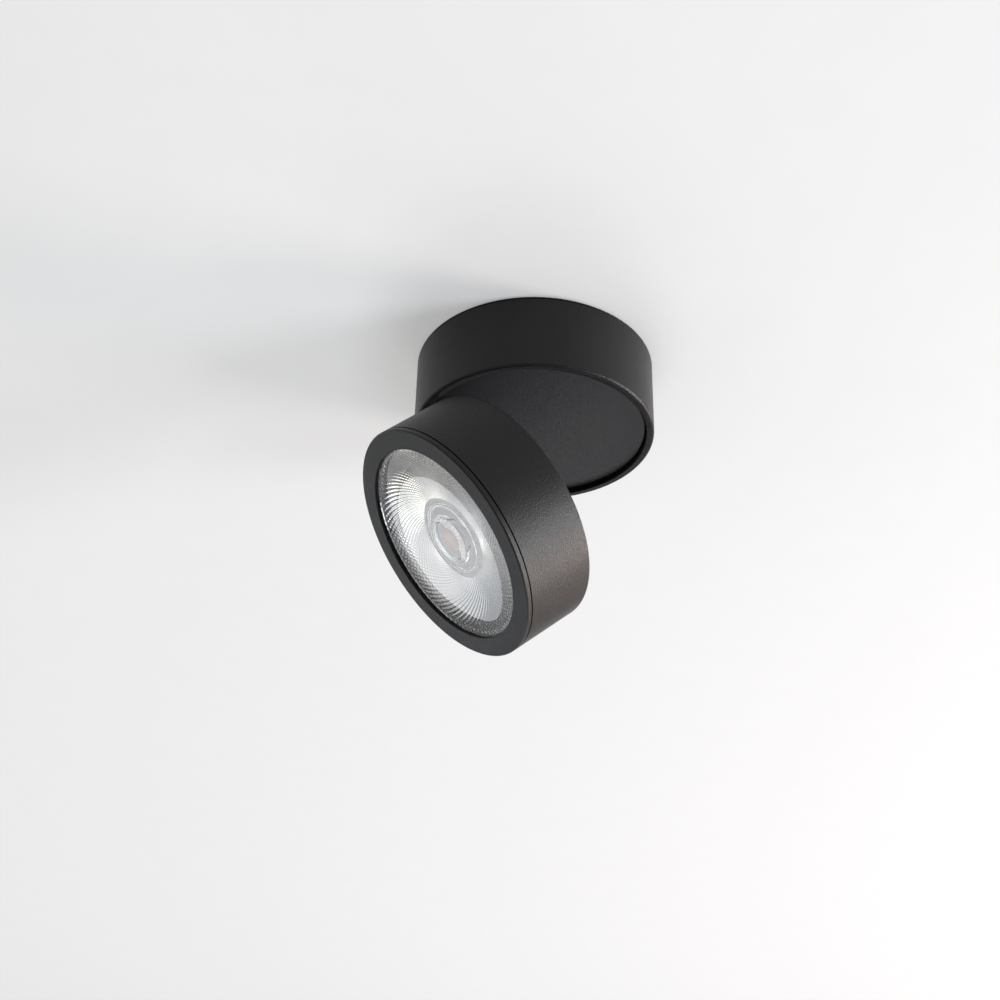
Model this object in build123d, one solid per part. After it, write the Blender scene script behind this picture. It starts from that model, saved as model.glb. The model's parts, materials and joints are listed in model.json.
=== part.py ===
from build123d import *
from math import cos, radians, sin
import os

# Surface mounted ceiling spotlight: a drum on the ceiling that holds the driver,
# a turntable in its lower end, and a drum of the same diameter hinged to the turntable.
# Millimetres, +Z up. The origin is the centre of the ceiling plate's upper face.
# The head faces -Y. It is modelled closed against the drum and then opened by tilt_rest.

# ---- Driving sizes: the two drums -------------------------------------------------
drum_dia = 100.0            # both drums have the same outside diameter
base_height = 34.5          # ceiling to the lower rim of the drum
head_length = 33.0          # rear face to the front of the bezel
closed_gap = 1.2            # between the rim and the head's rear face when closed
tilt_rest = 49.0            # how far the head is opened at rest, in degrees
run_gap = 0.4               # running gap round the turntable
axial_gap = 0.1             # running gap between faces that turn on each other
fit_gap = 0.3               # loose gap between parts that slip into each other
shaft_gap = 0.05            # radial clearance of a turning shaft

# ---- Ceiling plate and drum -------------------------------------------------------
plate_thickness = 1.2
plate_relief = 0.6          # shadow line cut into the plate's edge at the ceiling
seam_height = 0.35          # shadow line between the ceiling plate and the drum
seam_depth = 0.8
plate_edge_round = 0.25
base_wall = 3.2
rim_outer_round = 1.1
rim_inner_round = 0.4
spigot_height = 6.0
spigot_wall = 2.2
lug_count = 3               # twist lock between the plate and the drum
lug_angle = 12.0
lug_height = 2.0
lug_drop = 2.5              # from the spigot's root to the lug's upper face
slot_pitch = 60.0           # between the centres of the two ceiling screw slots
slot_length = 14.0
slot_width = 4.6
cable_hole_radius = 11.0
cable_lip = 1.6
cable_bore_radius = 4.5
web_thickness = 3.0

# ---- Turntable and its bearing ----------------------------------------------------
disc_recess = 2.2           # the turntable's face lies this far up inside the rim
disc_thickness = 3.5
disc_edge_round = 0.5
hub_radius = 8.0
hub_bore_radius = 5.0
hub_end_margin = 0.8
bush_wall = 2.0
bush_flange_radius = 17.0
bush_flange_thickness = 1.0
washer_radius = 13.0
washer_thickness = 1.0
spring_thickness = 0.5
spring_rise = 0.9
nut_radius = 12.5
nut_height = 4.0
nut_notch_count = 4
nut_notch_width = 3.0
nut_notch_depth = 1.6
channel_width = 6.0
channel_depth = 2.3
grommet_radius = 4.0
grommet_wall = 1.2
grommet_lip = 1.2
grommet_lip_thickness = 0.8
stop_pin_radius = 1.0
stop_circle_radius = 24.0
stop_pin_rise = 1.5
stop_groove_depth = 1.8
pan_limit = 175.0           # each way, in degrees

# ---- Hinge ------------------------------------------------------------------------
hinge_inset = 5.0           # from the drum's wall in to the hinge pin
hinge_drop = 5.6            # from the rim down to the hinge pin
pin_radius = 2.0
pin_head_radius = 3.3
pin_head_thickness = 1.6
nut_flats = 6.0
hinge_nut_thickness = 2.4
knuckle_radius = 3.2
knuckle_half_width = 6.0
foot_half_width = 9.5
foot_thickness = 2.0
foot_inset = 0.8            # outer end of the foot, in from the pin
foot_length = 12.7
stem_outset = 0.2           # outer face of the stem, out from the pin
stem_depth = 7.7
washer_gap = 0.05
friction_washer_thickness = 0.75
friction_washer_radius = 3.8
ear_thickness = 1.55
ear_radius = 3.9
yoke_thickness = 1.4
yoke_gap = 0.6              # below the knuckle
yoke_outset = 3.2           # outer end of the yoke's plate, out from the pin
yoke_length = 12.0
pocket_half_width = 11.6
pocket_inset = 9.5          # inner end of the pocket, in from the pin
pocket_wall = 1.6
yoke_screw_spread = 4.0
yoke_screw_inset = 6.0
lead_inset = 19.0           # from the pin in to the holes where the leads cross to the head

# ---- Head -------------------------------------------------------------------------
head_wall = 3.0
rear_wall = 2.5
rear_edge_round = 1.2
bezel_band = 2.1            # side height of the bezel
head_seam = 0.6             # groove between the bezel and the housing
bezel_edge_round = 0.3      # inner edge of the opening
bezel_edge_chamfer = 0.5    # outer edge of the front face
bezel_face = 8.4            # radial width of the bezel's face
lip_thickness = 1.5
bezel_spigot_length = 5.5
gasket_thickness = 0.3
lens_overlap = 1.6          # of the lens behind the bezel's face
lens_flange = 1.5
lens_height = 11.5
lens_foot_radius = 17.7
lens_step = 1.8             # from the flange's edge in to the reflecting cone
lens_bulge = 2.0            # how far the cone swells beyond a straight one
well_radius = 10.7
well_depth = 5.5
well_dome = 2.2
snap_ring_width = 2.6
snap_ring_thickness = 0.9
snap_ring_split = 2.0
holder_thickness = 2.2
holder_opening_radius = 8.0
board_side = 19.0
board_thickness = 1.0
phosphor_radius = 5.6
phosphor_thickness = 0.4
sink_plate = 4.0
sink_gap = 1.5              # between the heat sink and the housing's wall
sink_clearance = 1.3        # between the fin tips and the rear wall
fin_thickness = 1.5
fin_pitch = 5.5
fin_edge = 8.0              # from the heat sink's edge in to the outermost fin
fin_margin = 2.0
boss_radius = 4.0
boss_inset = 10.0
boss_angles = (90.0, 210.0, 330.0)

# ---- Driver and terminals inside the drum -----------------------------------------
driver_width = 20.0
driver_height = 17.5
driver_wall = 1.4
driver_corner = 3.0
driver_side_gap = 1.1       # between the driver's corners and the spigot
driver_hub_gap = 2.0
driver_lid_thickness = 1.4
driver_lid_chamfer = 0.5
driver_board_thickness = 1.6
driver_board_lift = 2.4
transformer_length = 14.0
transformer_width = 11.0
transformer_coil_radius = 4.0
transformer_coil_rise = 1.8
capacitor_radius = 3.1
capacitor_round = 0.5
capacitor_inset = 6.5       # from the driver's ends
driver_ear = 6.0
driver_ear_thickness = 2.0
terminal_poles = 3
pole_pitch = 9.5
pole_top_width = 7.2
terminal_depth = 13.0
terminal_height = 13.0
terminal_shoulder = 6.5
wire_level = 4.7            # wire tunnels in the terminal block, above the web
terminal_place = (-7.0, -26.0)
wire_hole_radius = 1.9
clamp_inset = 12.9          # from the drum's inner wall to the middle of the cable clamp
clamp_angle = -45.0
clamp_length = 20.0
clamp_width = 7.0
clamp_thickness = 2.4
clamp_post_radius = 2.8
clamp_post_height = 5.0
clamp_bolt_spread = 7.0

# ---- Screws -----------------------------------------------------------------------
screw_radius = 1.25
screw_head_radius = 2.5
screw_head_height = 1.4
screw_head_round = 0.45
screw_slot_length = 3.5
screw_slot_width = 0.6
screw_slot_depth = 0.7
screw_bite = 4.0            # length of thread in the part that it holds
screw_hole_gap = 0.05       # round a shank in its hole
yoke_screw_bite = 1.5
bracket_screw_spread = 5.5
bracket_screw_inset = 10.0  # in from the hinge pin
holder_screw_inset = 4.2    # in from the holder's edge

# ---- Places that follow from the sizes --------------------------------------------
drum_radius = drum_dia / 2
bore_radius = drum_radius - base_wall
drum_top = -plate_thickness - seam_height
rim_level = -base_height
disc_face = rim_level + disc_recess
disc_top = disc_face + disc_thickness
web_bottom = disc_top + axial_gap + bush_flange_thickness
web_top = web_bottom + web_thickness
bush_radius = hub_radius + shaft_gap + bush_wall
disc_radius = bore_radius - run_gap
washer_bottom = web_top + axial_gap
spring_bottom = washer_bottom + washer_thickness
nut_bottom = spring_bottom + spring_thickness + spring_rise
hub_top = nut_bottom + nut_height + hub_end_margin
spigot_radius = bore_radius - fit_gap
spigot_bore = spigot_radius - spigot_wall
channel_floor = disc_top - channel_depth
screw_hole = screw_radius + screw_hole_gap
counterbore = screw_head_radius + fit_gap / 2

driver_offset = nut_radius + driver_hub_gap + driver_width / 2
corner_reach = spigot_bore - driver_side_gap - driver_corner
corner_rise = driver_offset + driver_width / 2 - driver_corner
driver_length = 2 * ((corner_reach ** 2 - corner_rise ** 2) ** 0.5 + driver_corner)
board_level = web_top + driver_wall + driver_board_lift
parts_level = board_level + driver_board_thickness
parts_height = web_top + driver_height - 2 * driver_lid_thickness - fit_gap - parts_level
driver_hole_level = web_top + driver_ear_thickness - screw_bite

hinge_offset = drum_radius - hinge_inset
hinge_level = rim_level - hinge_drop
rear_level = rim_level - closed_gap
front_level = rear_level - head_length
housing_front = front_level + bezel_band + head_seam
head_bore_radius = drum_radius - head_wall
foot_level = disc_face - foot_thickness
bracket_screw_seat = disc_top - fit_gap - screw_head_height
yoke_top = hinge_level - knuckle_radius - yoke_gap
pocket_floor = yoke_top - yoke_thickness
foot_outer = hinge_offset - foot_inset
stem_outer = hinge_offset + stem_outset
yoke_outer = hinge_offset + yoke_outset
pocket_inner = hinge_offset - pocket_inset
yoke_screw_offset = hinge_offset - yoke_screw_inset
bracket_screw_offset = hinge_offset - bracket_screw_inset
lead_offset = hinge_offset - lead_inset
ear_inner = knuckle_half_width + 2 * washer_gap + friction_washer_thickness
ear_outer = ear_inner + ear_thickness

opening_radius = drum_radius - bezel_face
lens_radius = opening_radius + lens_overlap
lens_seat_radius = lens_radius - lens_step
lens_face = front_level + lip_thickness + gasket_thickness
lens_back = lens_face + lens_flange
holder_front = lens_face + lens_height
sink_front = holder_front + holder_thickness
sink_back = sink_front + sink_plate
sink_radius = head_bore_radius - sink_gap
fin_top = rear_level - rear_wall - sink_clearance
fins_each_side = int((sink_radius - fin_edge) / fin_pitch)
boss_circle_radius = drum_radius - boss_inset
holder_screw_offset = lens_foot_radius - holder_screw_inset
board_front = sink_front - board_thickness
hinge_axis = Axis((0, -hinge_offset, hinge_level), (-1, 0, 0))

UP = (Align.CENTER, Align.CENTER, Align.MIN)
SAME = 1e-4


# ---- Shared forms -----------------------------------------------------------------
def disc(radius, low, high):
    return Pos(0, 0, low) * Cylinder(radius, high - low, align=UP)


def ring(outer, inner, low, high):
    return disc(outer, low, high) - disc(inner, low, high)


def block(x_range, y_range, z_range):
    size = [high - low for low, high in (x_range, y_range, z_range)]
    middle = [(high + low) / 2 for low, high in (x_range, y_range, z_range)]
    return Pos(*middle) * Box(*size)


# A profile of (radius, height) points turned about the axis of the drums.
def turned(*points):
    return revolve(Plane.XZ * make_face(Polyline(*points, close=True)), Axis.Z)


def round_circle(body, radius, level, size):
    edges = [edge for edge in body.edges().filter_by(GeomType.CIRCLE)
             if abs(edge.radius - radius) < SAME and abs(edge.arc_center.Z - level) < SAME]
    return fillet(edges, size)


# A sector of a ring, whose middle lies at an angle from +X.
def sector(outer, inner, low, high, angle, width):
    section = Pos((outer + inner) / 2, (low + high) / 2) * Rectangle(outer - inner, high - low)
    return revolve(Plane.XZ * section, Axis.Z, width).rotate(Axis.Z, angle - width / 2)


# A pan head screw with its head's underside at seat, pointing down, or up when turned.
def screw(x, y, seat, length, upward=False):
    head = Cylinder(screw_head_radius, screw_head_height, align=UP)
    head = round_circle(head, screw_head_radius, screw_head_height, screw_head_round)
    slot = Pos(0, 0, screw_head_height) * Box(screw_slot_length, screw_slot_width, 2 * screw_slot_depth)
    body = head - slot + Pos(0, 0, -length) * Cylinder(screw_radius, length, align=UP)
    if upward:
        body = Rot(180, 0, 0) * body
    return Pos(x, y, seat) * body


def group(pieces):
    return Compound(list(pieces))


def on_circle(radius, angle):
    return radius * cos(radians(angle)), radius * sin(radians(angle))


# ---- Ceiling plate ----------------------------------------------------------------
def ceiling_plate():
    plate = disc(drum_radius, -plate_thickness, 0)
    plate -= ring(drum_radius + fit_gap, drum_radius - seam_depth, -plate_relief, 0)
    plate = round_circle(plate, drum_radius, -plate_thickness, plate_edge_round)
    plate = round_circle(plate, drum_radius, -plate_relief, plate_edge_round)
    plate += ring(drum_radius - seam_depth, spigot_bore, drum_top, -plate_thickness)
    plate += ring(spigot_radius, spigot_bore, drum_top - spigot_height, drum_top)
    plate -= disc(cable_hole_radius, -plate_thickness, 0)
    for side in (-1, 1):
        slot = extrude(SlotOverall(slot_length, slot_width), -plate_thickness)
        plate -= Pos(side * slot_pitch / 2, 0, 0) * slot
    inner, outer = spigot_bore - fit_gap, spigot_radius + fit_gap
    for turn in range(lug_count):
        angle = 360.0 / lug_count * turn + 90
        top = drum_top - lug_drop
        hook = sector(outer, inner, top - lug_height, top, angle + lug_angle / 2, 2 * lug_angle + 2)
        entry = sector(outer, inner, drum_top - spigot_height, top, angle + lug_angle, lug_angle + 2)
        plate -= hook + entry
    return plate


def cable_grommet():
    bore = cable_bore_radius
    return turned((bore, -plate_thickness), (bore, 0), (cable_hole_radius, 0),
                  (cable_hole_radius, -plate_thickness),
                  (cable_hole_radius + cable_lip, -plate_thickness),
                  (cable_hole_radius + cable_lip, -plate_thickness - cable_lip),
                  (bore + cable_lip, -plate_thickness - cable_lip))


# ---- Drum -------------------------------------------------------------------------
def base_housing():
    shell = turned((drum_radius, drum_top), (drum_radius, rim_level), (bore_radius, rim_level),
                   (bore_radius, web_bottom), (bush_radius, web_bottom), (bush_radius, web_top),
                   (bore_radius, web_top), (bore_radius, drum_top))
    shell = round_circle(shell, drum_radius, rim_level, rim_outer_round)
    shell = round_circle(shell, bore_radius, rim_level, rim_inner_round)
    for turn in range(lug_count):
        angle = 360.0 / lug_count * turn + 90
        top = drum_top - lug_drop
        shell += sector(bore_radius + base_wall / 2, spigot_bore + fit_gap,
                        top - lug_height, top, angle, lug_angle)
    for x, y in clamp_posts():
        shell += Pos(x, y, web_top) * Cylinder(clamp_post_radius, clamp_post_height, align=UP)
    for x, y, depth in web_screws():
        shell -= Pos(x, y, depth) * Cylinder(screw_hole, drum_top - depth, align=UP)
    return shell - stop_groove()


# An annular groove under the web that the stop pin travels in, broken by one rib on -Y.
def stop_groove():
    half = stop_pin_radius + fit_gap
    groove = ring(stop_circle_radius + half, stop_circle_radius - half,
                  web_bottom, web_bottom + stop_groove_depth)
    pin_reach = stop_pin_radius + fit_gap / 2
    rib = 2 * (stop_circle_radius * radians(180 - pan_limit) - pin_reach)
    return groove - Pos(0, -stop_circle_radius, web_bottom) * Box(rib, 4 * half, 4 * stop_groove_depth)


def clamp_posts():
    x, y = on_circle(bore_radius - clamp_inset, clamp_angle)
    return [(x, y - clamp_bolt_spread), (x, y + clamp_bolt_spread)]


# Where screws enter the web and its posts, and how deep their holes go.
def web_screws():
    holes = [(x, y, web_top + clamp_post_height - screw_bite) for x, y in clamp_posts()]
    return holes + [(x, y, driver_hole_level) for x, y in driver_ears()]


def driver_ears():
    reach = (driver_length + driver_ear) / 2
    inset = driver_offset - driver_width / 2 + driver_ear / 2
    return [(-reach, inset), (reach, inset)]


def pan_bush():
    bore = hub_radius + shaft_gap
    low = web_bottom - bush_flange_thickness
    return turned((bore, low), (bush_flange_radius, low), (bush_flange_radius, web_bottom),
                  (bush_radius, web_bottom), (bush_radius, web_top), (bore, web_top))


# ---- Driver -----------------------------------------------------------------------
def driver_outline(inset=0.0):
    return Pos(0, driver_offset) * RectangleRounded(driver_length - 2 * inset, driver_width - 2 * inset,
                                                    driver_corner - inset)


def driver_case():
    case = Pos(0, 0, web_top) * extrude(driver_outline(), driver_height - driver_lid_thickness)
    case -= Pos(0, 0, web_top + driver_wall) * extrude(driver_outline(driver_wall), driver_height)
    for x, y in driver_ears():
        ear = Pos(x, y, web_top) * Cylinder(driver_ear / 2, driver_ear_thickness, align=UP)
        arm = block(sorted((x, x - x / abs(x) * driver_ear / 2)), (y - driver_ear / 2, y + driver_ear / 2),
                    (web_top, web_top + driver_ear_thickness))
        hole = Pos(x, y, web_top) * Cylinder(screw_hole, driver_ear_thickness, align=UP)
        case += ear + arm
        case -= hole
    for side in (-1, 1):
        pad = block((-driver_length / 2 + driver_wall, driver_length / 2 - driver_wall),
                    sorted((driver_offset + side * (driver_width / 2 - driver_wall),
                            driver_offset + side * (driver_width / 2 - 2 * driver_wall))),
                    (web_top + driver_wall, web_top + driver_wall + driver_board_lift))
        case += pad
    return case


def driver_lid():
    low = web_top + driver_height - driver_lid_thickness
    plug = driver_outline(driver_wall + fit_gap / 2)
    lid = Pos(0, 0, low) * extrude(driver_outline(), driver_lid_thickness)
    lid = chamfer(lid.faces().sort_by(Axis.Z)[-1].edges(), driver_lid_chamfer)
    return lid + Pos(0, 0, low) * extrude(plug, -driver_lid_thickness)


def driver_board():
    inset = driver_wall + fit_gap
    return Pos(0, 0, board_level) * extrude(driver_outline(inset), driver_board_thickness)


def driver_transformer():
    place = Pos(0, driver_offset, parts_level)
    core = Box(transformer_length, transformer_width, parts_height - transformer_coil_rise, align=UP)
    return place * (core + Cylinder(transformer_coil_radius, parts_height, align=UP))


def driver_capacitors():
    can = Cylinder(capacitor_radius, parts_height, align=UP)
    can = round_circle(can, capacitor_radius, parts_height, capacitor_round)
    place = driver_length / 2 - capacitor_inset
    return group(Pos(x, driver_offset, parts_level) * can for x in (-place, place))


# ---- Terminals --------------------------------------------------------------------
def pole_places():
    middle = (terminal_poles - 1) / 2
    return [terminal_place[0] + (number - middle) * pole_pitch for number in range(terminal_poles)]


def terminal_block():
    x, y = terminal_place
    base = Box(terminal_poles * pole_pitch, terminal_depth, terminal_shoulder, align=UP)
    body = Pos(x, y, web_top) * base
    for x in pole_places():
        body += Pos(x, y, web_top) * Box(pole_top_width, terminal_depth, terminal_height, align=UP)
    for x in pole_places():
        body -= Pos(x, y, web_top + wire_level) * Rot(90, 0, 0) * Cylinder(wire_hole_radius, terminal_depth)
    for x, y in terminal_screw_places():
        body -= Pos(x, y, web_top + wire_level) * Cylinder(wire_hole_radius, terminal_height, align=UP)
    return body


def terminal_screw_places():
    y = terminal_place[1]
    return [(x, y + side * terminal_depth / 4) for x in pole_places() for side in (-1, 1)]


def terminal_screws():
    radius = wire_hole_radius - screw_hole_gap
    stud = Cylinder(radius, wire_level, align=UP)
    stud -= Pos(0, 0, wire_level) * Box(2 * radius, screw_slot_width, 2 * screw_slot_depth)
    return group(Pos(x, y, web_top + wire_level) * stud for x, y in terminal_screw_places())


def cable_clamp():
    x, y = on_circle(bore_radius - clamp_inset, clamp_angle)
    low = web_top + clamp_post_height
    bar = Pos(x, y, low) * extrude(SlotOverall(clamp_length, clamp_width, rotation=90), clamp_thickness)
    for px, py in clamp_posts():
        bar -= Pos(px, py, low) * Cylinder(screw_hole, clamp_thickness, align=UP)
    return bar


def clamp_screws():
    seat = web_top + clamp_post_height + clamp_thickness
    return group(screw(x, y, seat, clamp_thickness + screw_bite) for x, y in clamp_posts())


def driver_screws():
    return group(screw(x, y, web_top + driver_ear_thickness, screw_bite) for x, y in driver_ears())


# ---- Turntable --------------------------------------------------------------------
def turntable():
    plate = disc(disc_radius, disc_face, disc_top)
    plate = round_circle(plate, disc_radius, disc_face, disc_edge_round)
    plate += disc(hub_radius, disc_top, hub_top)
    plate -= disc(hub_bore_radius, channel_floor, hub_top)
    half = channel_width / 2
    plate -= block((-half, half), (-lead_offset, 0), (channel_floor, disc_top))
    plate -= Pos(0, -lead_offset, disc_face) * Cylinder(grommet_radius, disc_thickness, align=UP)
    for x in (-bracket_screw_spread, bracket_screw_spread):
        place = Pos(x, -bracket_screw_offset, disc_face)
        plate -= place * Cylinder(screw_hole, disc_thickness, align=UP)
        sunk = Pos(x, -bracket_screw_offset, bracket_screw_seat)
        plate -= sunk * Cylinder(counterbore, disc_thickness, align=UP)
    plate -= Pos(0, stop_circle_radius, disc_face + disc_thickness / 2) * \
        Cylinder(stop_pin_radius, disc_thickness, align=UP)
    return plate


def wire_grommet():
    bore = grommet_radius - grommet_wall
    lip = grommet_radius + grommet_lip
    profile = turned((bore, disc_face - grommet_lip_thickness), (lip, disc_face - grommet_lip_thickness),
                     (lip, disc_face), (grommet_radius, disc_face), (grommet_radius, channel_floor),
                     (bore, channel_floor))
    return Pos(0, -lead_offset, 0) * profile


def stop_pin():
    low = disc_face + disc_thickness / 2
    top = web_bottom + stop_pin_rise
    pin = Pos(0, stop_circle_radius, low) * Cylinder(stop_pin_radius, top - low, align=UP)
    return chamfer(pin.edges().sort_by(Axis.Z)[-1], fit_gap)


def pan_washer():
    return ring(washer_radius, hub_radius + shaft_gap, washer_bottom, spring_bottom)


# A coned disc spring between the washer and the nut.
def disc_spring():
    inner, outer = hub_radius + fit_gap, washer_radius - fit_gap
    return turned((outer, spring_bottom), (outer, spring_bottom + spring_thickness),
                  (inner, nut_bottom), (inner, nut_bottom - spring_thickness))


def pan_nut():
    nut = ring(nut_radius, hub_radius + screw_hole_gap, nut_bottom, nut_bottom + nut_height)
    for turn in range(nut_notch_count):
        notch = Pos(nut_radius, 0, nut_bottom + nut_height) * \
            Box(2 * nut_notch_depth, nut_notch_width, nut_height)
        nut -= notch.rotate(Axis.Z, 360.0 / nut_notch_count * turn)
    return nut


# The fixed half of the hinge: a foot under the turntable and a stem that ends in the knuckle.
def hinge_bracket():
    foot = block((-foot_half_width, foot_half_width), (-foot_outer, -foot_outer + foot_length), (foot_level, disc_face))
    foot = fillet(foot.edges().filter_by(Axis.Z), foot_thickness)
    centre = (-hinge_offset, hinge_level)
    web = make_hull([Line((-stem_outer, foot_level), (-stem_outer + stem_depth, foot_level)),
                     CenterArc(centre, knuckle_radius, 0, 360)])
    stem = extrude(Plane.YZ * web, knuckle_half_width, both=True)
    for x in (-bracket_screw_spread, bracket_screw_spread):
        foot -= Pos(x, -bracket_screw_offset, foot_level) * Cylinder(screw_hole, foot_thickness, align=UP)
    return foot + stem - along_hinge(pin_radius + shaft_gap, -knuckle_half_width, knuckle_half_width)


def along_hinge(radius, start, end):
    return Pos(start, -hinge_offset, hinge_level) * Rot(0, 90, 0) * Cylinder(radius, end - start, align=UP)


def bracket_screws():
    length = bracket_screw_seat - foot_level
    return group(screw(x, -bracket_screw_offset, bracket_screw_seat, length)
                 for x in (-bracket_screw_spread, bracket_screw_spread))


# ---- Hinge, head side -------------------------------------------------------------
def hinge_yoke():
    plate = block((-ear_outer, ear_outer), (-yoke_outer, -yoke_outer + yoke_length), (pocket_floor, yoke_top))
    centre = (-hinge_offset, hinge_level)
    ear = make_hull([Line((-yoke_outer, pocket_floor), (-hinge_offset + ear_radius, pocket_floor)),
                     CenterArc(centre, ear_radius, 0, 360)])
    yoke = plate
    for start in (-ear_outer, ear_inner):
        yoke += Pos(start, 0, 0) * extrude(Plane.YZ * ear, ear_thickness)
    yoke -= along_hinge(pin_radius + screw_hole_gap, -ear_outer, ear_outer)
    for x in (-yoke_screw_spread, yoke_screw_spread):
        yoke -= Pos(x, -yoke_screw_offset, pocket_floor) * Cylinder(screw_hole, yoke_thickness, align=UP)
    return yoke


def yoke_screws():
    length = yoke_thickness + pocket_wall + yoke_screw_bite
    return group(screw(x, -yoke_screw_offset, yoke_top, length)
                 for x in (-yoke_screw_spread, yoke_screw_spread))


def hinge_pin():
    pin = along_hinge(pin_radius, -ear_outer - hinge_nut_thickness, ear_outer)
    return pin + along_hinge(pin_head_radius, ear_outer, ear_outer + pin_head_thickness)


def hinge_nut():
    hexagon = RegularPolygon(nut_flats / 2, 6, major_radius=False) - Circle(pin_radius)
    nut = extrude(hexagon, hinge_nut_thickness)
    return Pos(-ear_outer, -hinge_offset, hinge_level) * Rot(0, -90, 0) * nut


def friction_washers():
    start = knuckle_half_width + washer_gap
    pieces = []
    for low in (-start - friction_washer_thickness, start):
        high = low + friction_washer_thickness
        pieces.append(along_hinge(friction_washer_radius, low, high) - along_hinge(pin_radius, low, high))
    return group(pieces)


# ---- Head -------------------------------------------------------------------------
def head_housing():
    rear_inside = rear_level - rear_wall
    shell = disc(drum_radius, housing_front, rear_level) - disc(head_bore_radius, housing_front, rear_inside)
    shell = round_circle(shell, drum_radius, rear_level, rear_edge_round)
    for angle in boss_angles:
        x, y = on_circle(boss_circle_radius, angle)
        shell += Pos(x, y, sink_back) * Cylinder(boss_radius, rear_inside - sink_back, align=UP)
        shell -= Pos(x, y, sink_back) * Cylinder(screw_hole, screw_bite, align=UP)
    inside = disc(drum_radius - head_wall / 2, pocket_floor - pocket_wall, rear_level)
    shell += pocket_shape(pocket_wall) & inside
    shell -= pocket_shape(0)
    for x in (-yoke_screw_spread, yoke_screw_spread):
        shell -= Pos(x, -yoke_screw_offset, pocket_floor) * Cylinder(screw_hole, 2 * pocket_wall)
    return shell - Pos(0, -lead_offset, rear_level) * Cylinder(grommet_radius, 2 * rear_wall)


# The notch in the rear edge that the hinge works in, grown by a wall for its lining.
def pocket_shape(wall):
    half = pocket_half_width + wall
    return block((-half, half), (-drum_radius - 1, -pocket_inner + wall), (pocket_floor - wall, rear_level))


def head_grommet():
    bore = grommet_radius - grommet_wall
    lip = grommet_radius + grommet_lip
    low = rear_level - rear_wall
    profile = turned((bore, low), (grommet_radius, low), (grommet_radius, rear_level), (lip, rear_level),
                     (lip, rear_level + grommet_lip_thickness), (bore, rear_level + grommet_lip_thickness))
    return Pos(0, -lead_offset, 0) * profile


def heat_sink():
    sink = disc(sink_radius, sink_front, sink_back)
    fins = None
    for number in range(-fins_each_side, fins_each_side + 1):
        x = number * fin_pitch
        reach = ((sink_radius - fin_margin) ** 2 - (abs(x) + fin_thickness / 2) ** 2) ** 0.5
        fin = Pos(x, 0, sink_back) * Box(fin_thickness, 2 * reach, fin_top - sink_back, align=UP)
        fins = fin if fins is None else fins + fin
    fins -= pocket_shape(pocket_wall + fin_margin)
    fins -= Pos(0, -lead_offset, sink_back) * Cylinder(grommet_radius, fin_top - sink_back, align=UP)
    for angle in boss_angles:
        x, y = on_circle(boss_circle_radius, angle)
        fins -= Pos(x, y, sink_back) * Cylinder(boss_radius + fin_margin, fin_top - sink_back, align=UP)
        sink -= Pos(x, y, sink_front) * Cylinder(screw_hole, sink_plate, align=UP)
    for x in (-holder_screw_offset, holder_screw_offset):
        sink -= Pos(x, 0, sink_front) * Cylinder(screw_hole, sink_plate / 2, align=UP)
    return sink + fins


def heat_sink_screws():
    places = [on_circle(boss_circle_radius, angle) for angle in boss_angles]
    return group(screw(x, y, sink_front, sink_plate + screw_bite, upward=True) for x, y in places)


def cob_board():
    board = Pos(0, 0, board_front) * extrude(Rectangle(board_side, board_side), board_thickness)
    return chamfer(board.edges().filter_by(Axis.Z), board_thickness)


def cob_phosphor():
    return disc(phosphor_radius, board_front - phosphor_thickness, board_front)


# The lamp holder: a round plate with a stepped opening that clamps the light source's board.
def cob_holder():
    body = disc(lens_foot_radius, holder_front, sink_front)
    body = round_circle(body, lens_foot_radius, holder_front, fit_gap)
    side = board_side + fit_gap
    body -= block((-side / 2, side / 2), (-side / 2, side / 2), (board_front, sink_front))
    cone = Pos(0, 0, holder_front) * Cone(holder_opening_radius + holder_thickness - board_thickness,
                                          holder_opening_radius, holder_thickness - board_thickness, align=UP)
    body -= cone
    for x in (-holder_screw_offset, holder_screw_offset):
        body -= Pos(x, 0, holder_front) * Cylinder(screw_hole, holder_thickness, align=UP)
        body -= Pos(x, 0, holder_front) * Cylinder(counterbore, screw_head_height, align=UP)
    return body


def holder_screws():
    seat = holder_front + screw_head_height
    length = holder_thickness - screw_head_height + sink_plate / 2
    return group(screw(x, 0, seat, length, upward=True) for x in (-holder_screw_offset, holder_screw_offset))


# The optic: a flat clear front with a flange, a swelling cone that reflects from behind,
# a foot on the lamp holder, and a well over the light source with a domed floor.
def lens():
    middle = ((lens_seat_radius + lens_foot_radius) / 2 + lens_bulge, (lens_back + holder_front) / 2)
    well_top = holder_front - well_depth
    seat = (lens_seat_radius, lens_back)
    foot = (lens_foot_radius, holder_front)
    edges = Curve() + [
        Polyline((0, lens_face), (lens_radius, lens_face), (lens_radius, lens_back), seat),
        ThreePointArc(seat, middle, foot),
        Polyline(foot, (well_radius, holder_front), (well_radius, well_top)),
        dome_arc(well_top),
        Line((0, well_top + well_dome), (0, lens_face)),
    ]
    return revolve(Plane.XZ * make_face(edges), Axis.Z)


# Half of the well's domed floor, from its edge to the axis.
def dome_arc(level):
    radius = (well_radius ** 2 + well_dome ** 2) / (2 * well_dome)
    half = well_radius / 2
    middle = (half, level + well_dome - radius + (radius ** 2 - half ** 2) ** 0.5)
    return ThreePointArc((well_radius, level), middle, (0, level + well_dome))


def lens_gasket():
    return ring(lens_radius, opening_radius + fit_gap, lens_face - gasket_thickness, lens_face)


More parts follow.
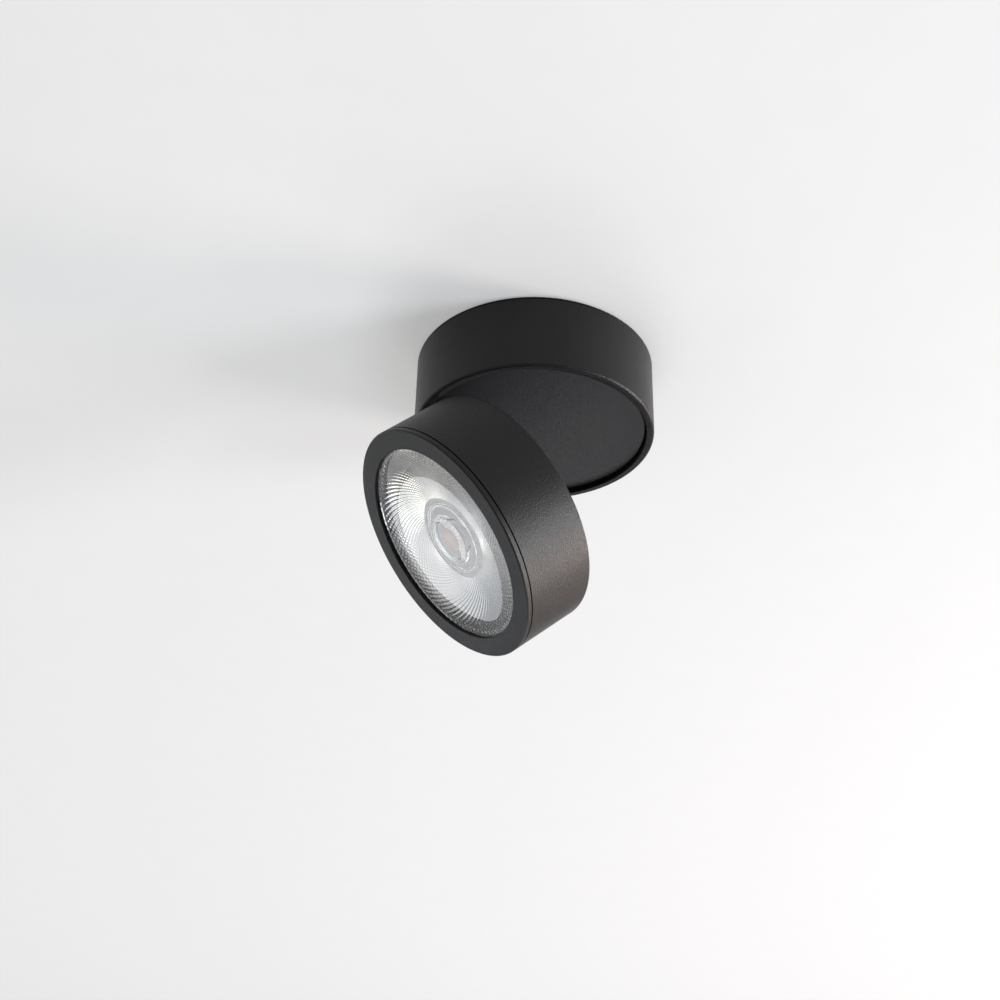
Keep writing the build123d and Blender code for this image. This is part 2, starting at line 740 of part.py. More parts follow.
def lens_snap_ring():
    middle = lens_radius + fit_gap
    top = lens_back + snap_ring_thickness
    closed = ring(middle + snap_ring_width / 2, middle - snap_ring_width / 2, lens_back, top)
    half = snap_ring_split / 2
    return closed - block((-half, half), (0, drum_radius), (lens_back, top))


def bezel():
    bore = lens_radius + fit_gap
    groove = bore + snap_ring_width / 2
    neck = drum_radius - seam_depth
    spigot = head_bore_radius - fit_gap / 2
    band = front_level + bezel_band
    lip = front_level + lip_thickness
    end = housing_front + bezel_spigot_length
    ring_top = lens_back + snap_ring_thickness
    corner = drum_radius - bezel_edge_chamfer
    body = turned((opening_radius, front_level), (corner, front_level),
                  (drum_radius, front_level + bezel_edge_chamfer), (drum_radius, band),
                  (neck, band), (neck, housing_front), (spigot, housing_front), (spigot, end),
                  (bore, end), (bore, ring_top), (groove, ring_top), (groove, lens_back),
                  (bore, lens_back), (bore, lip), (opening_radius, lip))
    return round_circle(body, opening_radius, front_level, bezel_edge_round)


# ---- Assembly ---------------------------------------------------------------------
base_parts = [ceiling_plate, cable_grommet, base_housing, pan_bush, driver_case, driver_lid, driver_board,
              driver_transformer, driver_capacitors, driver_screws, terminal_block, terminal_screws,
              cable_clamp, clamp_screws]
turntable_parts = [turntable, wire_grommet, stop_pin, pan_washer, disc_spring, pan_nut, hinge_bracket,
                   bracket_screws]
head_parts = [head_housing, hinge_yoke, yoke_screws, hinge_pin, hinge_nut, friction_washers, head_grommet,
              heat_sink, heat_sink_screws, cob_board, cob_phosphor, cob_holder, holder_screws, lens,
              lens_gasket, lens_snap_ring, bezel]

os.makedirs("parts", exist_ok=True)
for make in base_parts + turntable_parts:
    export_step(make(), f"parts/{make.__name__}.step")
for make in head_parts:
    export_step(make().rotate(hinge_axis, tilt_rest), f"parts/{make.__name__}.step")
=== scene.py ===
import json
import math
import bmesh
import bpy
import numpy as np
from mathutils import Matrix, Vector


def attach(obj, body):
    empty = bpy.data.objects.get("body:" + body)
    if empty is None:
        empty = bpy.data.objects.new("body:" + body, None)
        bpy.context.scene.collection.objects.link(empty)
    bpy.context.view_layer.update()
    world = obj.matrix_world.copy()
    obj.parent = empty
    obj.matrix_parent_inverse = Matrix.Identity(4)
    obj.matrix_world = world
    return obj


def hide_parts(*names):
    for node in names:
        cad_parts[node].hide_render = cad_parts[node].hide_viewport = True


# a surface mounted ceiling spotlight: black drum on the ceiling, tilted round head with a clear beaded lens
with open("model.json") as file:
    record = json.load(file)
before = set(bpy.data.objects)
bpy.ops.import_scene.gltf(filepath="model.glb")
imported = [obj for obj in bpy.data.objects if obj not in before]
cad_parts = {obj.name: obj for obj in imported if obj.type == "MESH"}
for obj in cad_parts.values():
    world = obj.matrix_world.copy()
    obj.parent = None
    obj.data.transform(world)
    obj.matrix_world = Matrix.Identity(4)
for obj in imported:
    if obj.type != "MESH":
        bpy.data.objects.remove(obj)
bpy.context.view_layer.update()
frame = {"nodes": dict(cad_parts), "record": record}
print("frame loaded with", len(frame["nodes"]), "nodes")

# camera: below the ceiling, looking up at the lamp, turned a little about its own line of sight
cameraSet = {
    "place": (0.525022, -0.141493, -0.401908),
    "right": (0.248626, 0.968378, 0.020694),
    "up": (0.505076, -0.147847, 0.850317),
    "back": (0.826489, -0.200959, -0.525863),
    "lens": 56.666,
    "sensor": 36.0,
    "near": 0.01,
    "far": 60,
}


def addCamera(values):
    data = bpy.data.cameras.new("photoCamera")
    data.lens = values["lens"]
    data.sensor_width = values["sensor"]
    data.clip_start = values["near"]
    data.clip_end = values["far"]
    camera = bpy.data.objects.new("photoCamera", data)
    turn = Matrix([Vector(values[key]) for key in ("right", "up", "back")]).transposed().to_4x4()
    camera.matrix_world = Matrix.Translation(Vector(values["place"])) @ turn
    bpy.context.scene.collection.objects.link(camera)
    bpy.context.scene.camera = camera


addCamera(cameraSet)
print("camera placed")

# where the head lies: its closed axis is vertical, and it is shown opened by these degrees about the hinge
headSet = {"hinge": (0.0, -0.045, -0.0401), "open": 49}


def headMatrix(values):
    # moves a point of the closed head to the open one: a turn about the hinge line, which runs along X
    hinge = Matrix.Translation(Vector(values["hinge"]))
    return hinge @ Matrix.Rotation(-math.radians(values["open"]), 4, "X") @ hinge.inverted()


headTurn = headMatrix(headSet)


def meshPiece(name, points, faces, smooth=True):
    mesh = bpy.data.meshes.new(name)
    mesh.from_pydata(points.tolist(), [], faces.tolist())
    mesh.polygons.foreach_set("use_smooth", [smooth] * len(mesh.polygons))
    mesh.update()
    piece = bpy.data.objects.new(name, mesh)
    bpy.context.scene.collection.objects.link(piece)
    return piece


def newSocket(group, name, kind, into, value=None):
    socket = group.interface.new_socket(name=name, in_out="INPUT" if into else "OUTPUT", socket_type=kind)
    if into and value is not None:
        socket.default_value = value


def mathNode(tree, operation, first, second=None, clamp=False):
    node = tree.nodes.new("ShaderNodeMath")
    node.operation = operation
    node.use_clamp = clamp
    for place, value in enumerate((first, second)):
        if value is None:
            continue
        if isinstance(value, (int, float)):
            node.inputs[place].default_value = value
        else:
            tree.links.new(value, node.inputs[place])
    return node.outputs[0]


# the patterns that several finishes share
patternSet = {
    "coarseScale": 0.35, "fineRoughness": 0.6, "fineDetail": 2.0, "coarseDetail": 1.0,
    "blotchScale": 45.0, "blotchDetail": 3.0,
    "dustCells": 220.0, "speckOuter": 0.05, "speckInner": 0.02, "dust": (0.35, 0.35, 0.34),
}


def makeGrainGroup(values):
    # fine grain of a coated or cast surface: two noises of different size added, with a slow blotch for the colour
    group = bpy.data.node_groups.new("surfaceGrain", "ShaderNodeTree")
    newSocket(group, "Vector", "NodeSocketVector", True)
    newSocket(group, "Size", "NodeSocketFloat", True, 2600.0)
    newSocket(group, "Coarse", "NodeSocketFloat", True, 0.4)
    newSocket(group, "Height", "NodeSocketFloat", False)
    newSocket(group, "Blotch", "NodeSocketFloat", False)
    newSocket(group, "Grain", "NodeSocketFloat", False)
    into = group.nodes.new("NodeGroupInput")
    out = group.nodes.new("NodeGroupOutput")
    fine = group.nodes.new("ShaderNodeTexNoise")
    fine.inputs["Detail"].default_value = values["fineDetail"]
    fine.inputs["Roughness"].default_value = values["fineRoughness"]
    group.links.new(into.outputs["Vector"], fine.inputs["Vector"])
    group.links.new(into.outputs["Size"], fine.inputs["Scale"])
    coarse = group.nodes.new("ShaderNodeTexNoise")
    coarse.inputs["Detail"].default_value = values["coarseDetail"]
    group.links.new(into.outputs["Vector"], coarse.inputs["Vector"])
    coarseSize = mathNode(group, "MULTIPLY", into.outputs["Size"], values["coarseScale"])
    group.links.new(coarseSize, coarse.inputs["Scale"])
    blotch = group.nodes.new("ShaderNodeTexNoise")
    blotch.inputs["Detail"].default_value = values["blotchDetail"]
    blotch.inputs["Scale"].default_value = values["blotchScale"]
    group.links.new(into.outputs["Vector"], blotch.inputs["Vector"])
    share = mathNode(group, "MULTIPLY", coarse.outputs["Fac"], into.outputs["Coarse"])
    group.links.new(mathNode(group, "ADD", fine.outputs["Fac"], share), out.inputs["Height"])
    group.links.new(blotch.outputs["Fac"], out.inputs["Blotch"])
    group.links.new(fine.outputs["Fac"], out.inputs["Grain"])
    return group


def makeDustGroup(values):
    # a few tiny pale specks: the cells of a Voronoi pattern whose random colour is high show a small round spot
    group = bpy.data.node_groups.new("dustSpecks", "ShaderNodeTree")
    newSocket(group, "Vector", "NodeSocketVector", True)
    newSocket(group, "Cells", "NodeSocketFloat", True, values["dustCells"])
    newSocket(group, "Few", "NodeSocketFloat", True, 0.93)
    newSocket(group, "Speck", "NodeSocketFloat", False)
    into = group.nodes.new("NodeGroupInput")
    out = group.nodes.new("NodeGroupOutput")
    cells = group.nodes.new("ShaderNodeTexVoronoi")
    group.links.new(into.outputs["Vector"], cells.inputs["Vector"])
    group.links.new(into.outputs["Cells"], cells.inputs["Scale"])
    apart = group.nodes.new("ShaderNodeSeparateColor")
    group.links.new(cells.outputs["Color"], apart.inputs["Color"])
    chosen = mathNode(group, "GREATER_THAN", apart.outputs[0], into.outputs["Few"])
    spot = group.nodes.new("ShaderNodeMapRange")
    spot.inputs["From Min"].default_value = values["speckOuter"]
    spot.inputs["From Max"].default_value = values["speckInner"]
    group.links.new(cells.outputs["Distance"], spot.inputs["Value"])
    group.links.new(mathNode(group, "MULTIPLY", chosen, spot.outputs[0]), out.inputs["Speck"])
    return group


def makeBrushGroup():
    # turned or plated metal: noise stretched round the axis given as the pattern's Z, so its lines run in circles
    group = bpy.data.node_groups.new("turnedLines", "ShaderNodeTree")
    newSocket(group, "Vector", "NodeSocketVector", True)
    newSocket(group, "Lines", "NodeSocketFloat", True, 3000.0)
    newSocket(group, "Height", "NodeSocketFloat", False)
    into = group.nodes.new("NodeGroupInput")
    out = group.nodes.new("NodeGroupOutput")
    apart = group.nodes.new("ShaderNodeSeparateXYZ")
    group.links.new(into.outputs["Vector"], apart.inputs[0])
    flat = group.nodes.new("ShaderNodeCombineXYZ")
    group.links.new(apart.outputs[0], flat.inputs[0])
    group.links.new(apart.outputs[1], flat.inputs[1])
    radius = group.nodes.new("ShaderNodeVectorMath")
    radius.operation = "LENGTH"
    group.links.new(flat.outputs[0], radius.inputs[0])
    join = group.nodes.new("ShaderNodeCombineXYZ")
    group.links.new(radius.outputs["Value"], join.inputs[0])
    group.links.new(apart.outputs[2], join.inputs[1])
    lines = group.nodes.new("ShaderNodeTexNoise")
    group.links.new(join.outputs[0], lines.inputs["Vector"])
    group.links.new(into.outputs["Lines"], lines.inputs["Scale"])
    group.links.new(lines.outputs["Fac"], out.inputs["Height"])
    return group


grainGroup = makeGrainGroup(patternSet)
dustGroup = makeDustGroup(patternSet)
brushGroup = makeBrushGroup()


def startMaterial(name):
    material = bpy.data.materials.new(name)
    material.use_nodes = True
    tree = material.node_tree
    shader = next(node for node in tree.nodes if node.type == "BSDF_PRINCIPLED")
    place = tree.nodes.new("ShaderNodeTexCoord")
    return material, tree, shader, place.outputs["Object"]


def useGroup(tree, group, vector, **values):
    node = tree.nodes.new("ShaderNodeGroup")
    node.node_tree = group
    tree.links.new(vector, node.inputs["Vector"])
    for key, value in values.items():
        node.inputs[key].default_value = value
    return node


def mixColour(tree, factor, first, second):
    node = tree.nodes.new("ShaderNodeMix")
    node.data_type = "RGBA"
    tree.links.new(factor, node.inputs["Factor"])
    for place, value in (("A", first), ("B", second)):
        socket = next(s for s in node.inputs if s.name == place and s.type == "RGBA")
        if isinstance(value, tuple):
            socket.default_value = (*value, 1.0)
        else:
            tree.links.new(value, socket)
    return next(s for s in node.outputs if s.type == "RGBA")


def mapValue(tree, value, low, high, fromLow=0.3, fromHigh=0.7):
    node = tree.nodes.new("ShaderNodeMapRange")
    tree.links.new(value, node.inputs["Value"])
    node.inputs["From Min"].default_value = fromLow
    node.inputs["From Max"].default_value = fromHigh
    node.inputs["To Min"].default_value = low
    node.inputs["To Max"].default_value = high
    return node.outputs[0]


def bump(tree, shader, height, distance):
    node = tree.nodes.new("ShaderNodeBump")
    node.inputs["Distance"].default_value = distance
    node.inputs["Strength"].default_value = 1.0
    tree.links.new(height, node.inputs["Height"])
    tree.links.new(node.outputs["Normal"], shader.inputs["Normal"])


def rimHeight(tree, vector, values):
    # the rim's ring leans inwards: its height grows evenly with the distance from the axis between two radii
    apart = tree.nodes.new("ShaderNodeSeparateXYZ")
    tree.links.new(vector, apart.inputs[0])
    across = mathNode(tree, "POWER", apart.outputs[0], 2.0)
    along = mathNode(tree, "POWER", apart.outputs[1], 2.0)
    radius = mathNode(tree, "SQRT", mathNode(tree, "ADD", across, along))
    inner, outer = values["ring"]
    drop = (outer - inner) * math.tan(math.radians(values["lean"]))
    return mapValue(tree, radius, 0.0, drop, inner, outer)


def coatedMaterial(name, values):
    # grained paint or moulded plastic: two near tones by the slow blotch, roughness and bump by the grain
    material, tree, shader, vector = startMaterial(name)
    grain = useGroup(tree, grainGroup, vector, Size=values["grainSize"], Coarse=values["coarse"])
    tone = mixColour(tree, mapValue(tree, grain.outputs["Blotch"], 0.0, 1.0), values["dark"], values["light"])
    if values.get("dust"):
        dust = useGroup(tree, dustGroup, vector, Few=values["dust"])
        tone = mixColour(tree, dust.outputs["Speck"], tone, patternSet["dust"])
    tree.links.new(tone, shader.inputs["Base Color"])
    low, high = values["roughness"]
    tree.links.new(mapValue(tree, grain.outputs["Grain"], low, high), shader.inputs["Roughness"])
    shader.inputs["Specular IOR Level"].default_value = values.get("specular", 0.5)
    shader.inputs["Metallic"].default_value = values.get("metallic", 0.0)
    shader.inputs["Coat Weight"].default_value = values.get("coat", 0.0)
    shader.inputs["Coat Roughness"].default_value = 0.2
    height, depth = grain.outputs["Height"], values["depth"]
    if "ring" in values:
        grained = mathNode(tree, "MULTIPLY", height, depth)
        height, depth = mathNode(tree, "ADD", grained, rimHeight(tree, vector, values)), 1.0
    bump(tree, shader, height, depth)
    return material


def turnedMaterial(name, values):
    # plated or turned metal: fine circular lines under a slight grain
    material, tree, shader, vector = startMaterial(name)
    lines = useGroup(tree, brushGroup, vector, Lines=values["lines"])
    grain = useGroup(tree, grainGroup, vector, Size=values["grainSize"], Coarse=0.3)
    tone = mixColour(tree, mapValue(tree, grain.outputs["Blotch"], 0.0, 1.0), values["dark"], values["light"])
    tree.links.new(tone, shader.inputs["Base Color"])
    low, high = values["roughness"]
    tree.links.new(mapValue(tree, lines.outputs["Height"], low, high), shader.inputs["Roughness"])
    shader.inputs["Metallic"].default_value = 1.0
    bump(tree, shader, lines.outputs["Height"], values["depth"])
    return material


finishes = {
    "powderBlack": {"dark": (0.0055, 0.0055, 0.0062), "light": (0.0075, 0.0075, 0.0082), "roughness": (0.30, 0.48),
                    "grainSize": 2100.0, "coarse": 0.12, "depth": 0.00014, "specular": 0.23, "dust": 0.985},
    "blackSteel": {"dark": (0.016, 0.016, 0.017), "light": (0.022, 0.022, 0.024), "roughness": (0.38, 0.5),
                   "grainSize": 1500.0, "coarse": 0.3, "depth": 0.00002, "specular": 0.45},
    "blackRubber": {"dark": (0.014, 0.014, 0.014), "light": (0.022, 0.022, 0.022), "roughness": (0.72, 0.86),
                    "grainSize": 1800.0, "coarse": 0.2, "depth": 0.00002, "specular": 0.35},
    "whiteNylon": {"dark": (0.70, 0.69, 0.64), "light": (0.78, 0.77, 0.73), "roughness": (0.42, 0.55),
                   "grainSize": 1200.0, "coarse": 0.3, "depth": 0.00001},
    "driverWhite": {"dark": (0.72, 0.72, 0.70), "light": (0.78, 0.78, 0.76), "roughness": (0.36, 0.5),
                    "grainSize": 900.0, "coarse": 0.6, "depth": 0.000015},
    "boardGreen": {"dark": (0.02, 0.12, 0.05), "light": (0.035, 0.18, 0.08), "roughness": (0.25, 0.38),
                   "grainSize": 700.0, "coarse": 0.8, "depth": 0.00001, "coat": 0.3},
    "ferrite": {"dark": (0.035, 0.035, 0.042), "light": (0.075, 0.075, 0.085), "roughness": (0.5, 0.7),
                "grainSize": 1600.0, "coarse": 0.6, "depth": 0.00002},
    "bareAluminium": {"dark": (0.60, 0.60, 0.61), "light": (0.70, 0.70, 0.71), "roughness": (0.36, 0.52),
                      "grainSize": 1500.0, "coarse": 0.6, "depth": 0.00002, "metallic": 1.0},
    "phosphor": {"dark": (0.78, 0.60, 0.52), "light": (0.86, 0.70, 0.62), "roughness": (0.5, 0.65),
                 "grainSize": 2600.0, "coarse": 0.3, "depth": 0.00001},
    "holderWhite": {"dark": (0.80, 0.80, 0.79), "light": (0.86, 0.86, 0.85), "roughness": (0.24, 0.34),
                    "grainSize": 800.0, "coarse": 0.3, "depth": 0.000005},
}
turnedFinishes = {
    "zincSteel": {"dark": (0.55, 0.55, 0.56), "light": (0.68, 0.68, 0.69), "roughness": (0.24, 0.42),
                  "grainSize": 1800.0, "lines": 2500.0, "depth": 0.00001},
    "brassScrew": {"dark": (0.62, 0.45, 0.18), "light": (0.74, 0.56, 0.26), "roughness": (0.26, 0.4),
                   "grainSize": 1800.0, "lines": 2500.0, "depth": 0.00001},
}
# the coat of the drum, with its rim between two radii leaning inwards by these degrees
finishes["powderRim"] = {**finishes["powderBlack"], "ring": (0.0468, 0.0489), "lean": 17}
materials = {name: coatedMaterial(name, values) for name, values in finishes.items()}
materials.update({name: turnedMaterial(name, values) for name, values in turnedFinishes.items()})
print("coats, metals and plastics made")

# clear acrylic of the lens, the bright face that its beaded cone shows from the front, and a painted image of the
# LED source: the source's colours painted on the middle of the lens dome, in place of the source seen through the
# glass
opticSet = {
    "clear": {"tint": (0.98, 0.985, 0.99), "roughness": (0.006, 0.01), "ior": 1.49},
    "mirror": {"dark": (0.86, 0.87, 0.88), "light": (0.94, 0.94, 0.95), "roughness": (0.035, 0.07),
               "metallic": 0.82},
    # painted refraction image: the colours of the LED source, painted onto the middle of the lens dome
    "source": {"dark": (0.80, 0.68, 0.63), "light": (0.88, 0.76, 0.71), "roughness": (0.3, 0.4), "metallic": 0.5},
}


def clearMaterial(name, values):
    material, tree, shader, vector = startMaterial(name)
    grain = useGroup(tree, grainGroup, vector, Size=500.0, Coarse=0.2)
    shader.inputs["Base Color"].default_value = (*values["tint"], 1.0)
    shader.inputs["IOR"].default_value = values["ior"]
    shader.inputs["Transmission Weight"].default_value = 1.0
    low, high = values["roughness"]
    tree.links.new(mapValue(tree, grain.outputs["Blotch"], low, high), shader.inputs["Roughness"])
    return material


def mirrorMaterial(name, values):
    material, tree, shader, vector = startMaterial(name)
    grain = useGroup(tree, grainGroup, vector, Size=900.0, Coarse=0.2)
    tone = mixColour(tree, mapValue(tree, grain.outputs["Blotch"], 0.0, 1.0), values["dark"], values["light"])
    tree.links.new(tone, shader.inputs["Base Color"])
    low, high = values["roughness"]
    tree.links.new(mapValue(tree, grain.outputs["Grain"], low, high), shader.inputs["Roughness"])
    shader.inputs["Metallic"].default_value = values["metallic"]
    return material


materials["clearOptic"] = clearMaterial("clearOptic", opticSet["clear"])
materials["beadMirror"] = mirrorMaterial("beadMirror", opticSet["mirror"])
# the dome's painted image of the source: colour standing in for the LED source seen through the lens
materials["sourceImage"] = mirrorMaterial("sourceImage", opticSet["source"])
print("lens materials made")

# the lens: sizes in millimetres, heights measured back from its flat front face
lensSet = {
    "face": -66.9, "radius": 43.2, "flange": 1.5, "seat": 41.4, "foot": 17.7, "height": 11.5, "swell": 2.0,
    "well": 10.7, "wellDepth": 5.5, "dome": 2.0, "grooveOuter": 15.8, "grooveInner": 13.7, "grooveDepth": 1.4,
    # the dome's middle, out to the source radius below, gets the painted image of the LED source
    "beads": 96, "perBead": 8, "coneRows": 96, "slope": 0.29, "fade": 0.03, "sourceRadius": 5.3,
    "edge": 0.15, "corner": 0.25, "slant": 0.3, "rimEdge": 0.1, "frontRows": (14.0, 28.0),
}


def lensRings(values):
    # the lens section as rows of (radius, height): front pole, rim, flange, the cone as a straight line swelled
    # outwards by a parabola, then the foot with its groove, the well's wall and its parabolic dome back to the axis
    k = values
    share = np.linspace(0, 1, k["coneRows"] + 1)
    coneRadius = k["seat"] + (k["foot"] - k["seat"]) * share + 4 * k["swell"] * share * (1 - share)
    coneHeight = k["flange"] + (k["height"] - k["flange"]) * share
    edge, corner, slant = k["edge"], k["corner"], k["slant"]
    front = [(r, 0.0) for r in (*k["frontRows"], k["radius"] - edge)] + [(k["radius"], edge)]
    flange = [(k["radius"], k["flange"] - k["rimEdge"]), (k["radius"] - k["rimEdge"], k["flange"])]
    top = k["height"] - k["grooveDepth"]
    foot = [(k["foot"] - corner, k["height"]), (k["grooveOuter"] + edge, k["height"]),
            (k["grooveOuter"], k["height"] - edge), (k["grooveOuter"] - slant, top + slant),
            (k["grooveOuter"] - 2 * slant, top), (k["grooveInner"] + 2 * slant, top),
            (k["grooveInner"] + slant, top + slant), (k["grooveInner"], k["height"] - edge),
            (k["grooveInner"] - edge, k["height"]), (k["well"] + corner, k["height"]),
            (k["well"], k["height"] - corner)]
    floor = k["height"] - k["wellDepth"]
    turn = np.linspace(0.98, 0.12, 8)
    dome = [(k["well"] * t, floor + k["dome"] * (1 - t * t)) for t in turn]
    wall = [(k["well"], floor + 0.2)]
    before = np.array(front + flange)
    after = np.array(foot + wall + dome)
    radius = np.concatenate([before[:, 0], coneRadius, after[:, 0]])
    height = np.concatenate([before[:, 1], coneHeight, after[:, 1]])
    cone = np.zeros(len(radius), bool)
    cone[len(before):len(before) + len(coneRadius)] = True
    return radius, height, cone, share


def makeLens(values):
    # rows turned round the axis; on the cone each point moves along the section's normal by
    # slope x radius / beads x cos(beads x angle) x cos(beads x log of radius), which gives a lattice of small beads
    radius, height, cone, share = lensRings(values)
    around = values["beads"] * values["perBead"]
    angle = np.arange(around) * 2 * math.pi / around
    alongRadius, alongHeight = np.gradient(radius), np.gradient(height)
    length = np.hypot(alongRadius, alongHeight)
    outward, backward = alongHeight / length, -alongRadius / length
    window = np.zeros(len(radius))
    window[cone] = np.clip(np.minimum(share, 1 - share) / values["fade"], 0, 1)
    size = values["slope"] * radius / values["beads"] * window
    lattice = np.cos(values["beads"] * angle)[None, :] * np.cos(values["beads"] * np.log(radius))[:, None]
    shift = size[:, None] * lattice
    r = radius[:, None] + outward[:, None] * shift
    h = height[:, None] + backward[:, None] * shift
    points = np.stack([r * np.cos(angle), r * np.sin(angle), values["face"] + h], axis=-1).reshape(-1, 3)
    rows = len(radius)
    row, step = np.meshgrid(np.arange(rows - 1), np.arange(around), indexing="ij")
    here, there = row * around + step, row * around + (step + 1) % around
    quads = np.stack([here, there, there + around, here + around], axis=-1).reshape(-1, 4)
    frontPole, backPole = len(points), len(points) + 1
    poles = np.array([[0, 0, values["face"]],
                      [0, 0, values["face"] + values["height"] - values["wellDepth"] + values["dome"]]])
    points = np.vstack([points, poles]) / 1000
    step = np.arange(around)
    last = (rows - 1) * around
    frontFan = np.column_stack([np.full(around, frontPole), (step + 1) % around, step])
    backFan = np.column_stack([np.full(around, backPole), last + step, last + (step + 1) % around])
    mesh = bpy.data.meshes.new("lensBody")
    mesh.from_pydata(points.tolist(), [], quads.tolist() + frontFan.tolist() + backFan.tolist())
    # the cone and the flange's back are mirrored; the dome's middle gets the LED source's colours painted on, a
    # painted image in place of the enlarged source that a real lens shows through its dome
    mirrored = np.repeat(cone[1:] & (cone[:-1] | (height[:-1] > 0)), around).astype(np.int32)
    mesh.materials.append(materials["clearOptic"])
    mesh.materials.append(materials["beadMirror"])
    mesh.materials.append(materials["sourceImage"])
    # faces of the dome's middle that carry the painted image of the source
    middle = np.repeat((radius[:-1] <= values["sourceRadius"]) & (height[:-1] > 0), around)
    ends = np.concatenate([np.zeros(around, np.int32), np.full(around, 2, np.int32)])
    index = np.concatenate([np.where(middle, 2, mirrored).astype(np.int32), ends])
    mesh.polygons.foreach_set("material_index", index)
    mesh.polygons.foreach_set("use_smooth", [True] * len(mesh.polygons))
    mesh.transform(headTurn)
    mesh.update()
    closed = bmesh.new()
    closed.from_mesh(mesh)
    bmesh.ops.recalc_face_normals(closed, faces=closed.faces)
    closed.to_mesh(mesh)
    closed.free()
    lens = bpy.data.objects.new("lensBody", mesh)
    bpy.context.scene.collection.objects.link(lens)
    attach(lens, "head")
    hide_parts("lens")


makeLens(lensSet)
print("beaded lens made")

slotFinish = {
    "powder_black": "powderBlack", "black_steel": "blackSteel", "zinc_steel": "zincSteel",
    "black_rubber": "blackRubber", "white_nylon": "whiteNylon", "driver_white": "driverWhite",
    "board_green": "boardGreen", "ferrite": "ferrite", "brass_screw": "brassScrew",
    "bare_aluminium": "bareAluminium", "phosphor": "phosphor", "holder_white": "holderWhite",
    "clear_optic": "clearOptic",
}


# the drum's leaning rim has its own copy of the black coat
nodeFinish = {"base_housing": "powderRim"}


def dressNodes():
    record = frame["record"]
    slots = {part["node"]: part["material_slot"] for part in record["subparts"]}
    for name, node in frame["nodes"].items():
        material = materials[nodeFinish.get(name, slotFinish[slots[name]])]
        if not node.material_slots:
            node.data.materials.append(material)
        for place in node.material_slots:
            place.material = material


dressNodes()
print("finishes given to", len(frame["nodes"]), "nodes")

# a plain pale ceiling, which ends at this distance from the lamp and shows some glow of its own to the camera
stageSet = {
    "ceilingSize": 6.0, "gap": 0.0004, "ceiling": (0.515, 0.525, 0.535), "glow": 0.295,
    "blotch": 0.985, "grainSize": 160.0, "roughness": 0.85, "specular": 0.1,
}


def seenDirectly(tree):
    # 1 for the camera and for rays that gloss or glass sends on, 0 for the light that reaches the object
    path = tree.nodes.new("ShaderNodeLightPath")
    both = mathNode(tree, "ADD", path.outputs["Is Camera Ray"], path.outputs["Is Glossy Ray"], clamp=True)
    return mathNode(tree, "ADD", both, path.outputs["Is Transmission Ray"], clamp=True)


def addCeiling(values):
    half = values["ceilingSize"]
    corner = np.array([[-1, -1], [-1, 1], [1, 1], [1, -1]], float) * half
    points = np.column_stack([corner, np.full(4, values["gap"])])
    ceiling = meshPiece("ceiling", points, np.array([[0, 1, 2, 3]]), smooth=False)
    material, tree, shader, vector = startMaterial("ceilingPaint")
    grain = useGroup(tree, grainGroup, vector, Size=values["grainSize"], Coarse=0.3)
    darker = tuple(part * values["blotch"] for part in values["ceiling"])
    tone = mixColour(tree, mapValue(tree, grain.outputs["Blotch"], 0.0, 1.0), darker, values["ceiling"])
    tree.links.new(tone, shader.inputs["Base Color"])
    shader.inputs["Roughness"].default_value = values["roughness"]
    shader.inputs["Specular IOR Level"].default_value = values["specular"]
    shader.inputs["Emission Color"].default_value = (1.0, 1.0, 1.0, 1.0)
    glow = mathNode(tree, "MULTIPLY", seenDirectly(tree), values["glow"])
    tree.links.new(glow, shader.inputs["Emission Strength"])
    ceiling.data.materials.append(material)


addCeiling(stageSet)

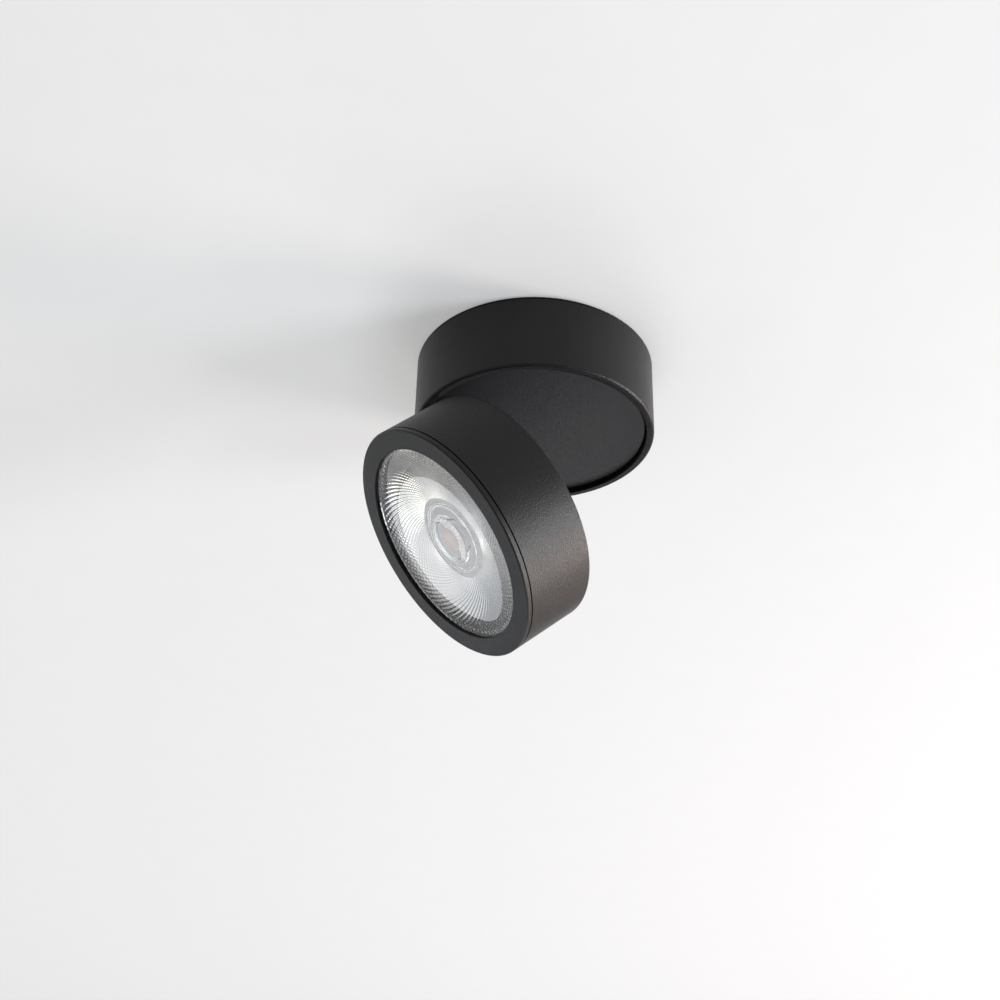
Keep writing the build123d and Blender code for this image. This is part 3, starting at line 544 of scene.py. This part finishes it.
# lamps all round at one distance from the middle of the object, which lies this far below the ceiling; each by its
# angle round the room (90 is along +Y) and its angle below the ceiling
lampSet = {
    "distance": 2.0, "middle": 0.04,
    "windowNear": {"round": 60, "below": 12, "size": 0.7, "power": 41.0, "colour": (0.96, 0.98, 1.0)},
    "windowSide": {"round": 90, "below": 12, "size": 0.7, "power": 43.0, "colour": (1.0, 0.875, 0.82)},
    "wallSide": {"round": 120, "below": 12, "size": 0.7, "power": 5.0, "colour": (1.0, 0.82, 0.73)},
    "wallFar": {"round": 210, "below": 12, "size": 0.7, "power": 2.5, "colour": (0.9, 0.95, 1.0)},
    "farSide": {"round": 158, "below": 32, "size": 1.0, "power": 5.6, "colour": (0.9, 0.9, 1.0)},
    "frontSide": {"round": 270, "below": 32, "size": 1.0, "power": 1.5, "colour": (1.0, 0.9, 0.88)},
    "lowFar": {"round": 180, "below": 55, "size": 1.0, "power": 7.0, "colour": (1.0, 0.94, 0.78)},
    "floor": {"round": 0, "below": 89, "size": 1.0, "power": 6.2, "colour": (0.84, 0.9, 1.0)},
}


def addLamp(name, values, distance, middle):
    data = bpy.data.lights.new(name, "AREA")
    data.shape = "DISK"
    data.size = values["size"]
    data.energy = values["power"]
    data.color = values["colour"]
    lamp = bpy.data.objects.new(name, data)
    turn, drop = math.radians(values["round"]), math.radians(values["below"])
    away = Vector((math.cos(turn) * math.cos(drop), math.sin(turn) * math.cos(drop), -math.sin(drop)))
    place = away * distance + Vector((0, 0, -middle))
    lamp.matrix_world = Matrix.Translation(place) @ (-away).to_track_quat("-Z", "Y").to_matrix().to_4x4()
    bpy.context.scene.collection.objects.link(lamp)


for lampName, lampValues in lampSet.items():
    if isinstance(lampValues, dict):
        addLamp(lampName, lampValues, lampSet["distance"], lampSet["middle"])

# the room beyond the ceiling: pale where the camera looks, dim all round, with one soft bright side that the
# lens faces
worldSet = {
    "seen": (0.9, 0.9, 0.905), "around": (0.02, 0.02, 0.021), "bright": (0.57, 0.565, 0.555),
    "side": (0.12, -0.72, -0.68), "edge": (0.08, 0.8),
}


def setWorld(values):
    # the bright side grows evenly with the cosine between the direction and the side's middle
    world = bpy.data.worlds.new("room")
    world.use_nodes = True
    tree = world.node_tree
    ground = next(node for node in tree.nodes if node.type == "BACKGROUND")
    path = tree.nodes.new("ShaderNodeLightPath")
    where = tree.nodes.new("ShaderNodeTexCoord")
    facing = tree.nodes.new("ShaderNodeVectorMath")
    facing.operation = "DOT_PRODUCT"
    facing.inputs[1].default_value = values["side"]
    tree.links.new(where.outputs["Generated"], facing.inputs[0])
    share = mapValue(tree, facing.outputs["Value"], 0.0, 1.0, *values["edge"])
    room = mixColour(tree, share, values["around"], values["bright"])
    tone = mixColour(tree, path.outputs["Is Camera Ray"], room, values["seen"])
    tree.links.new(tone, ground.inputs["Color"])
    bpy.context.scene.world = world


setWorld(worldSet)
bpy.context.scene.view_settings.view_transform = "Standard"
print("ceiling, lamps and world set")
